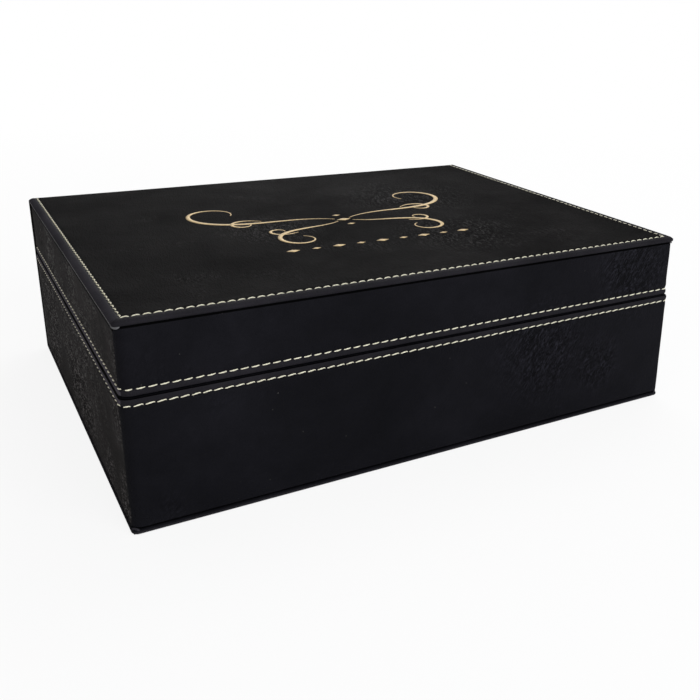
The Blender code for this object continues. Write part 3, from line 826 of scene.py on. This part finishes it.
def ribbon(points, widths):
    """A thin flat stroke on the top, given by its middle line and its width along it."""
    line = np.array(points)
    ahead = np.gradient(line, axis=0)
    ahead /= np.linalg.norm(ahead, axis=1)[:, None] + 1e-12
    sideways = np.stack([-ahead[:, 1], ahead[:, 0]], 1) * (np.array(widths)[:, None] / 2)
    table = []
    for (x, y), (dx, dy) in zip(line, sideways):
        level = HEIGHT + top_lift(x, y)
        high, low = level + 0.00006, level - 0.00006
        table.append([(x + dx, y + dy, high), (x + dx, y + dy, low), (x - dx, y - dy, low), (x - dx, y - dy, high)])
    return sweep(np.array(table), False, flip=True)


def curl(start, heading, length, first_bend, last_bend, thin, thick, steps=70):
    """A stroke whose bend changes evenly along it. It swells in the middle. Angles in degrees, bends in degrees per mm."""
    x, y = start
    angle = math.radians(heading)
    stride = length / steps
    points, widths = [], []
    for i in range(steps + 1):
        t = i / steps
        points.append((x, y))
        widths.append(thin + (thick - thin) * math.sin(math.pi * t) ** 1.5)
        angle += math.radians(first_bend + (last_bend - first_bend) * t) * stride * 1000
        x, y = x + stride * math.cos(angle), y + stride * math.sin(angle)
    return points, widths


def lozenge(x, y, half):
    return [(x - half, y), (x, y)][0:2] + [(x + half, y)], [half * 0.05, half * 1.1, half * 0.05]


def flourish():
    """A symmetrical scroll with curls, leaves and a row of lozenges, in gilt."""
    strokes = [
        curl((0.0045, -0.004), 40, 0.134, -2.1, 6.1, 0.0005, 0.0028),
        curl((0.0045, -0.009), -40, 0.088, 2.8, -9.6, 0.0005, 0.0024),
        curl((0.044, 0.0075), 48, 0.042, -2.8, -14.5, 0.0004, 0.0018),
        curl((0.034, -0.0225), -30, 0.032, 2.6, 18, 0.0004, 0.0016),
    ]
    verts, faces = [], []
    mirrored = [([(-x, y) for x, y in points][::-1], widths[::-1]) for points, widths in strokes]
    middles = [lozenge(0.0125 * i, -0.056, 0.0024 if i % 2 else 0.0036) for i in range(-4, 5)]
    middles += [lozenge(0, -0.0065, 0.0042), lozenge(0, 0.004, 0.0024), lozenge(0, -0.017, 0.0024)]
    for points, widths in strokes + mirrored + middles:
        new_verts, new_faces = ribbon(points, widths)
        first = len(verts)
        verts += new_verts
        faces += [tuple(first + k for k in face) for face in new_faces]
    return mesh_object("top_flourish", verts, faces, GILT)


# Build


def build_covers():
    top = cover("top_cover", HEIGHT, -1, HEIGHT - SEAM - LIP_GAP, TOP_FOLD_RADIUS, FINE, top_relief, TOP_LEATHER)
    bottom = cover("bottom_cover", 0, 1, SEAM - LIP_GAP, BOTTOM_FOLD_RADIUS, COARSE, bottom_relief, WALL_LEATHER)
    inset = TOP_STITCH_INSET - 0.0004
    # Painted light on the band outside the top's stitches.
    patch(top, BAND_LIT_LEATHER, lambda c, n: c.z > HEIGHT - PLATE * 0.9 and (WIDTH / 2 - abs(c.x) < inset or c.y - TOP[0].y < inset))
    # Painted light on the rounded left and right ends of the top.
    patch(top, EDGE_LIT_LEATHER, lambda c, n: abs(c.x) > WIDTH / 2 - inset + 0.0002 and c.z > HEIGHT - PLATE * 0.9 and c.y - TOP[0].y > 0.002)
    # Painted highlight along the lower edge of the top's left end.
    patch(top, EDGE_HIGHLIGHT, lambda c, n: n.x < -0.3 and 0.0005 < c.z - HEIGHT + PLATE < 0.0011 and c.y - TOP[0].y > 0.002)
    # Painted light on the bottom plate's front and side edges.
    patch(bottom, BAND_LIT_LEATHER, lambda c, n: c.z < PLATE * 0.8 and (WIDTH / 2 - abs(c.x) < 0.002 or c.y - TOP[0].y < 0.002))
    # Painted highlight along the bottom plate's lower front edge.
    patch(bottom, EDGE_HIGHLIGHT, lambda c, n: c.z < PLATE * 0.4 and c.y - TOP[0].y < 0.001)
    dress(top, "lid", "top_cover_leatherette")
    dress(bottom, "base", "bottom_cover_leatherette")
    for side, x_sign in (("left", -1), ("right", 1)):
        corner_tab(f"top_{side}_corner_tab", "lid", "top_cover_leatherette", x_sign, HEIGHT, -1)
        corner_tab(f"bottom_{side}_corner_tab", "base", "bottom_cover_leatherette", x_sign, 0, 1)


def build_walls():
    lid_height = HEIGHT - PLATE - FIT - LID_WALL[0].z
    base_height = BASE_WALL[1].z - PLATE - FIT
    lid = wall_wrap("lid_wall_wrap", LID_WALL, LID_WALL[0].z, 1, lid_height, LID_PITCH, WALL_LEATHER, 31)
    base = wall_wrap("base_wall_wrap", BASE_WALL, BASE_WALL[1].z, -1, base_height, BASE_PITCH, WALL_LEATHER, 47)
    dress(lid, "lid", "lid_wall_leatherette")
    dress(base, "base", "base_wall_leatherette")


def build_stitches():
    sink = -0.0001
    plain = {"share": 0.73, "side_share": 0.62, "tilt": 0.0003, "arch": 0, "tick": 0, "body": 1}
    ticked = {"share": 0.81, "side_share": 0.64, "tilt": 0.0006, "arch": 0.0001, "tick": 0.00045, "body": 1}
    arched = {"share": 0.87, "side_share": 0.6, "tilt": 0.0007, "arch": 0.00055, "tick": 0, "body": 1.5}
    lid_run = wall_run(LID_WALL, LID_WALL[0].z + RIM_STITCH_DROP, sink)
    base_run = wall_run(BASE_WALL, BASE_WALL[1].z - RIM_STITCH_DROP, sink)
    dress(stitches("lid_rim_stitches", *lid_run, LID_PITCH, plain, 5), "lid", "lid_rim_thread")
    dress(stitches("base_rim_stitches", *base_run, BASE_PITCH, ticked, 9), "base", "base_rim_thread")
    dress(stitches("top_edge_stitches", *top_run(sink), TOP_PITCH, arched, 14), "lid", "top_edge_thread")


def build_hinge():
    half = LIP_GAP + 0.0009
    edge, dip, thick = 0.00014, 0.00036, 0.00035
    table = []
    for x in np.linspace(TOP[0].x + 0.0001, TOP[1].x - 0.0001, 150):
        outer = [(z, TOP[1].y - edge - dip * (1 - (z / half) ** 2) - 0.00003 * drift((x, 0, z), 0.01, 2)) for z in np.linspace(-half, half, 15)]
        table.append([(x, y, SEAM + z) for z, y in outer] + [(x, y - thick, SEAM + z) for z, y in reversed(outer)])
    strip = mesh_object("hinge_skin", *sweep(np.array(table), False), WALL_LEATHER)
    lining = rounded_bar("hinge_lining_strip", HINGE_LINING[0], HINGE_LINING[1], 0.0002, 0.0009, 0, WALL_LEATHER)
    for piece, node, slot in ((strip, "hinge_leatherette", "leatherette"), (lining, "hinge_lining", "hinge_lining")):
        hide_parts(node)
        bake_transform(piece)


def build_linings():
    for body in ("base", "lid"):
        for side in ("front", "back", "left", "right"):
            node = f"{body}_{side}_lining"
            low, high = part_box(node)
            panel = rounded_bar(f"{body}_{side}_velvet", low, high, 0.00055, 0.004, 0.00005, LINING_VELVET)
            dress(panel, body, node)
    for body, node, up in (("base", "base_floor_pad", 1), ("lid", "lid_ceiling_pad", -1)):
        cushion = pad(f"{node}_velvet", node, up, 0.0022, LINING_VELVET)
        dress(cushion, body, node)


def dress_boards():
    for name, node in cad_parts.items():
        if "board" in name or "card" in name:
            node.data.materials.clear()
            node.data.materials.append(BOARD)
        if "magnet" in name:
            node.data.materials.clear()
            node.data.materials.append(NICKEL)


def studio():
    scene = bpy.context.scene
    scene.view_settings.view_transform = "Standard"
    camera = bpy.data.objects.new("camera", bpy.data.cameras.new("camera"))
    scene.collection.objects.link(camera)
    turn = Matrix.Rotation(math.radians(-CAMERA_YAW), 4, "Z")
    turn = turn @ Matrix.Rotation(math.radians(90 - CAMERA_PITCH), 4, "X")
    turn = turn @ Matrix.Rotation(math.radians(CAMERA_ROLL), 4, "Z")
    camera.matrix_world = Matrix.Translation(CAMERA_PLACE) @ turn
    camera.data.lens = CAMERA_LENS
    camera.data.shift_x, camera.data.shift_y = CAMERA_SHIFT
    camera.data.clip_start = 0.01
    scene.camera = camera
    floor = mesh_object("floor", [(-6, -6, -0.0002), (6, -6, -0.0002), (6, 6, -0.0002), (-6, 6, -0.0002)], [(0, 1, 2, 3)], pale_floor())
    world = bpy.data.worlds.new("studio")
    scene.world = world
    world.use_nodes = True
    tree = world.node_tree
    backdrop = tree.nodes["Background"]
    backdrop.inputs["Color"].default_value = (1, 1, 1, 1)
    path = tree.nodes.new("ShaderNodeLightPath")
    seen = tree.nodes.new("ShaderNodeMath")
    seen.operation = "MAXIMUM"
    tree.links.new(path.outputs["Is Camera Ray"], seen.inputs[0])
    tree.links.new(path.outputs["Is Transmission Ray"], seen.inputs[1])
    strength = tree.nodes.new("ShaderNodeMapRange")
    strength.inputs["To Min"].default_value = 0.4
    strength.inputs["To Max"].default_value = 1
    tree.links.new(seen.outputs[0], strength.inputs["Value"])
    tree.links.new(strength.outputs["Result"], backdrop.inputs["Strength"])
    lamp("left_softbox", (-1.2, -0.9, 0.6), 0.7, 2.8, (1, 0.95, 0.91))
    lamp("overhead_softbox", (0.6, 0.45, 1.1), 0.9, 6.2, (1, 1, 1))
    lamp("front_fill", (0.4, -1.6, 0.7), 1.2, 24, (0.95, 0.97, 1))
    lamp("rear_fill", (0.6, 1.6, 0.8), 1.2, 7, (1, 1, 1))


def lamp(name, place, size, power, colour):
    light = bpy.data.lights.new(name, "AREA")
    light.size = size
    light.energy = power
    light.color = colour
    thing = bpy.data.objects.new(name, light)
    bpy.context.scene.collection.objects.link(thing)
    thing.location = place
    thing.rotation_euler = (Vector((0, 0, 0.05)) - Vector(place)).to_track_quat("-Z", "Y").to_euler()


def pale_floor():
    """White to the camera, and still darker in the object's shadow."""
    n = Nodes("pale_floor")
    tree = n.tree
    n.shader.inputs["Base Color"].default_value = (0.86, 0.86, 0.86, 1)
    n.shader.inputs["Roughness"].default_value = 0.9
    n.shader.inputs["Specular IOR Level"].default_value = 0.05
    glow = n.add("ShaderNodeEmission")
    path = n.add("ShaderNodeLightPath")
    seen = n.maths("MAXIMUM", path.outputs["Is Camera Ray"], path.outputs["Is Transmission Ray"])
    far = n.add("ShaderNodeVectorMath", operation="LENGTH")
    n.link(n.place, far.inputs[0])
    share = n.maths("MULTIPLY", seen, n.spread(far.outputs["Value"], 0.3, 1.1, 0.88, 1))
    mix = n.add("ShaderNodeMixShader")
    n.link(share, mix.inputs[0])
    n.link(n.shader.outputs[0], mix.inputs[1])
    n.link(glow.outputs[0], mix.inputs[2])
    n.link(mix.outputs[0], tree.nodes["Material Output"].inputs["Surface"])
    return n.material


build_covers()
build_walls()
build_stitches()
build_hinge()
build_linings()
dress_boards()
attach(flourish(), "lid")
studio()
